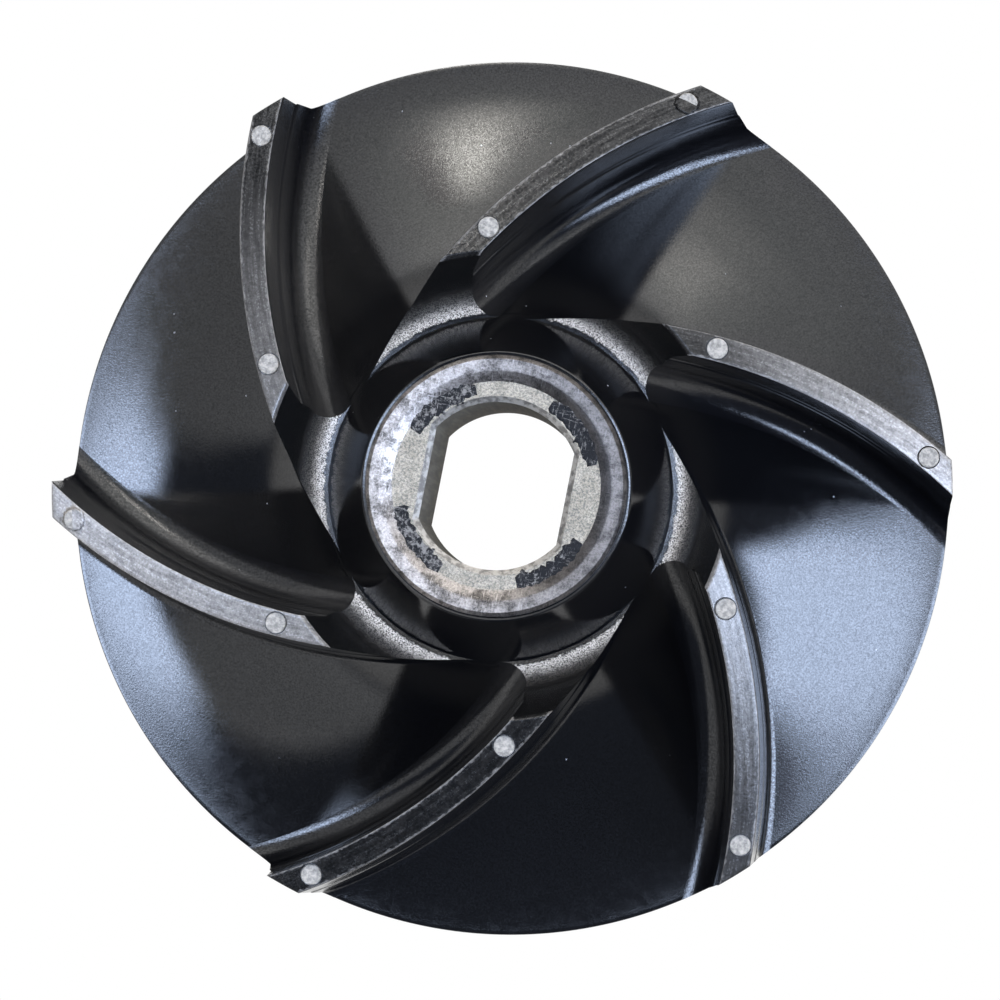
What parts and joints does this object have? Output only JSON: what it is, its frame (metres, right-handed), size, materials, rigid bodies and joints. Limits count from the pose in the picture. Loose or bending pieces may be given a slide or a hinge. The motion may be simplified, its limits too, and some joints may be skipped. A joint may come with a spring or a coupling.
{
  "type": "water pump impeller",
  "caption": "Semi-open moulded coolant pump impeller wheel with backward-curved blades and a metal hub insert with a double-D bore.",
  "frame": {"origin": "on the bore axis, at the back plane of the disc", "axes": "+Z along the bore axis, towards the blades; the flats of the bore face along X"},
  "size_m": [0.065, 0.065, 0.0201],
  "materials": {
    "wheel_plastic": "glossy black moulded thermoset, fine orange peel, scuffed blade tops",
    "insert_metal": "dull zinc-plated sintered steel, mottled and lightly scratched"
  },
  "bodies": {
    "root": {"back_disc": "wheel_plastic", "hub_boss": "wheel_plastic", "blade_1": "wheel_plastic", "blade_2": "wheel_plastic", "blade_3": "wheel_plastic", "blade_4": "wheel_plastic", "blade_5": "wheel_plastic", "blade_6": "wheel_plastic", "hub_insert": "insert_metal"}
  },
  "joints": []
}
